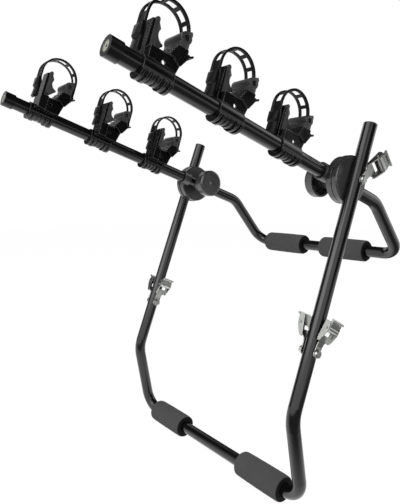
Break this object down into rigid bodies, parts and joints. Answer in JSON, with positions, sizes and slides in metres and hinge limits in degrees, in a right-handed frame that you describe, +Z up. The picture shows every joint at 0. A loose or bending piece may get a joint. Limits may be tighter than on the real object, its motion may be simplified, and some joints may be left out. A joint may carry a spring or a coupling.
{
  "type": "trunk mounted bicycle rack",
  "caption": "Strap-on rear bicycle rack of bent black tube: a lower frame and a carry frame that fold on knobbed hubs, with foam pads, strapped cradles and cam buckles.",
  "frame": {"origin": "middle of the lower bar's axis, between the two lower foam pads", "axes": "+X to the rack's right as seen from behind the vehicle, along the lower bar; +Y to the vehicle; +Z up"},
  "size_m": [0.6524, 0.8252, 0.9445],
  "materials": {
    "black_paint": "gloss",
    "black_plastic": "satin",
    "grey_plastic": "satin",
    "foam": "matte",
    "rubber": "matte",
    "zinc": "satin"
  },
  "bodies": {
    "main_frame": {"lower_frame_tube": "black_paint", "upright_plugs": "black_plastic", "left_lower_pad": "foam", "right_lower_pad": "foam", "left_outer_disc": "grey_plastic", "right_outer_disc": "grey_plastic", "hub_bolts": "zinc", "buckle_bolts": "zinc"},
    "carry_frame": {"carry_tube": "black_paint", "left_arm_cap": "black_plastic", "left_inner_disc": "grey_plastic", "left_neck": "grey_plastic", "left_upper_pad": "foam", "left_cradle_1": "black_plastic", "left_cushions_1": "rubber", "left_cradle_2": "black_plastic", "left_cushions_2": "rubber", "left_cradle_3": "black_plastic", "left_cushions_3": "rubber", "right_arm_cap": "black_plastic", "right_inner_disc": "grey_plastic", "right_neck": "grey_plastic", "right_upper_pad": "foam", "right_cradle_1": "black_plastic", "right_cushions_1": "rubber", "right_cradle_2": "black_plastic", "right_cushions_2": "rubber", "right_cradle_3": "black_plastic", "right_cushions_3": "rubber"},
    "left_knob_body": {"left_knob": "black_plastic", "left_knob_nut": "zinc"},
    "left_strap_1_body": {"left_strap_1": "rubber"},
    "left_strap_2_body": {"left_strap_2": "rubber"},
    "left_strap_3_body": {"left_strap_3": "rubber"},
    "left_hub_buckle_body": {"left_hub_buckle": "zinc", "left_hub_pin": "zinc"},
    "left_hub_lever_body": {"left_hub_lever": "zinc"},
    "left_outer_buckle_body": {"left_outer_buckle": "zinc", "left_outer_pin": "zinc"},
    "left_outer_lever_body": {"left_outer_lever": "zinc"},
    "left_inner_buckle_body": {"left_inner_buckle": "zinc", "left_inner_pin": "zinc"},
    "left_inner_lever_body": {"left_inner_lever": "zinc"},
    "right_knob_body": {"right_knob": "black_plastic", "right_knob_nut": "zinc"},
    "right_strap_1_body": {"right_strap_1": "rubber"},
    "right_strap_2_body": {"right_strap_2": "rubber"},
    "right_strap_3_body": {"right_strap_3": "rubber"},
    "right_hub_buckle_body": {"right_hub_buckle": "zinc", "right_hub_pin": "zinc"},
    "right_hub_lever_body": {"right_hub_lever": "zinc"},
    "right_outer_buckle_body": {"right_outer_buckle": "zinc", "right_outer_pin": "zinc"},
    "right_outer_lever_body": {"right_outer_lever": "zinc"},
    "right_inner_buckle_body": {"right_inner_buckle": "zinc", "right_inner_pin": "zinc"},
    "right_inner_lever_body": {"right_inner_lever": "zinc"}
  },
  "joints": [
    {"name": "frame_fold", "type": "hinge", "parent": "main_frame", "child": "carry_frame", "pos_m": [0, 0.14387, 0.64361], "axis": [1, 0, 0], "range_deg": [-25, 70]},
    {"name": "left_knob_turn", "type": "hinge", "parent": "main_frame", "child": "left_knob_body", "pos_m": [-0.19, 0.14387, 0.64361], "axis": [1, 0, 0], "continuous": true},
    {"name": "left_strap_1_open", "type": "hinge", "parent": "carry_frame", "child": "left_strap_1_body", "pos_m": [-0.217, 0.04751, 0.73363], "axis": [-1, 0, 0], "range_deg": [0, 75]},
    {"name": "left_strap_2_open", "type": "hinge", "parent": "carry_frame", "child": "left_strap_2_body", "pos_m": [-0.217, -0.10336, 0.78382], "axis": [-1, 0, 0], "range_deg": [0, 75]},
    {"name": "left_strap_3_open", "type": "hinge", "parent": "carry_frame", "child": "left_strap_3_body", "pos_m": [-0.217, -0.24854, 0.83211], "axis": [-1, 0, 0], "range_deg": [0, 75]},
    {"name": "left_hub_swivel", "type": "hinge", "parent": "main_frame", "child": "left_hub_buckle_body", "pos_m": [-0.3001, 0.14387, 0.64361], "axis": [1, 0, 0], "range_deg": [-60, 60]},
    {"name": "left_hub_cam", "type": "hinge", "parent": "left_hub_buckle_body", "child": "left_hub_lever_body", "pos_m": [-0.31525, 0.18436, 0.6764], "axis": [0, -0.6293, 0.7771], "range_deg": [0, 60], "stiffness_Nm_per_rad": 0.3, "springref_deg": -28.65},
    {"name": "left_outer_swivel", "type": "hinge", "parent": "main_frame", "child": "left_outer_buckle_body", "pos_m": [-0.3001, 0.01486, 0.30752], "axis": [1, 0, 0], "range_deg": [-60, 60]},
    {"name": "left_outer_cam", "type": "hinge", "parent": "left_outer_buckle_body", "child": "left_outer_lever_body", "pos_m": [-0.31525, 0.04012, 0.35309], "axis": [0, -0.8746, 0.4848], "range_deg": [0, 60], "stiffness_Nm_per_rad": 0.3, "springref_deg": -28.65},
    {"name": "left_inner_swivel", "type": "hinge", "parent": "main_frame", "child": "left_inner_buckle_body", "pos_m": [-0.2707, 0.01486, 0.30752], "axis": [1, 0, 0], "range_deg": [-60, 60]},
    {"name": "left_inner_cam", "type": "hinge", "parent": "left_inner_buckle_body", "child": "left_inner_lever_body", "pos_m": [-0.25555, 0.03522, 0.35548], "axis": [0, 0.9205, -0.3907], "range_deg": [0, 60], "stiffness_Nm_per_rad": 0.3, "springref_deg": -28.65},
    {"name": "right_knob_turn", "type": "hinge", "parent": "main_frame", "child": "right_knob_body", "pos_m": [0.19, 0.14387, 0.64361], "axis": [1, 0, 0], "continuous": true},
    {"name": "right_strap_1_open", "type": "hinge", "parent": "carry_frame", "child": "right_strap_1_body", "pos_m": [0.217, 0.04751, 0.73363], "axis": [-1, 0, 0], "range_deg": [0, 75]},
    {"name": "right_strap_2_open", "type": "hinge", "parent": "carry_frame", "child": "right_strap_2_body", "pos_m": [0.217, -0.10336, 0.78382], "axis": [-1, 0, 0], "range_deg": [0, 75]},
    {"name": "right_strap_3_open", "type": "hinge", "parent": "carry_frame", "child": "right_strap_3_body", "pos_m": [0.217, -0.24854, 0.83211], "axis": [-1, 0, 0], "range_deg": [0, 75]},
    {"name": "right_hub_swivel", "type": "hinge", "parent": "main_frame", "child": "right_hub_buckle_body", "pos_m": [0.3001, 0.14387, 0.64361], "axis": [1, 0, 0], "range_deg": [-60, 60]},
    {"name": "right_hub_cam", "type": "hinge", "parent": "right_hub_buckle_body", "child": "right_hub_lever_body", "pos_m": [0.31525, 0.18436, 0.6764], "axis": [0, 0.6293, -0.7771], "range_deg": [0, 60], "stiffness_Nm_per_rad": 0.3, "springref_deg": -28.65},
    {"name": "right_outer_swivel", "type": "hinge", "parent": "main_frame", "child": "right_outer_buckle_body", "pos_m": [0.3001, 0.01486, 0.30752], "axis": [1, 0, 0], "range_deg": [-60, 60]},
    {"name": "right_outer_cam", "type": "hinge", "parent": "right_outer_buckle_body", "child": "right_outer_lever_body", "pos_m": [0.31525, 0.04012, 0.35309], "axis": [0, 0.8746, -0.4848], "range_deg": [0, 60], "stiffness_Nm_per_rad": 0.3, "springref_deg": -28.65},
    {"name": "right_inner_swivel", "type": "hinge", "parent": "main_frame", "child": "right_inner_buckle_body", "pos_m": [0.2707, 0.01486, 0.30752], "axis": [1, 0, 0], "range_deg": [-60, 60]},
    {"name": "right_inner_cam", "type": "hinge", "parent": "right_inner_buckle_body", "child": "right_inner_lever_body", "pos_m": [0.25555, 0.03522, 0.35548], "axis": [0, -0.9205, 0.3907], "range_deg": [0, 60], "stiffness_Nm_per_rad": 0.3, "springref_deg": -28.65}
  ]
}
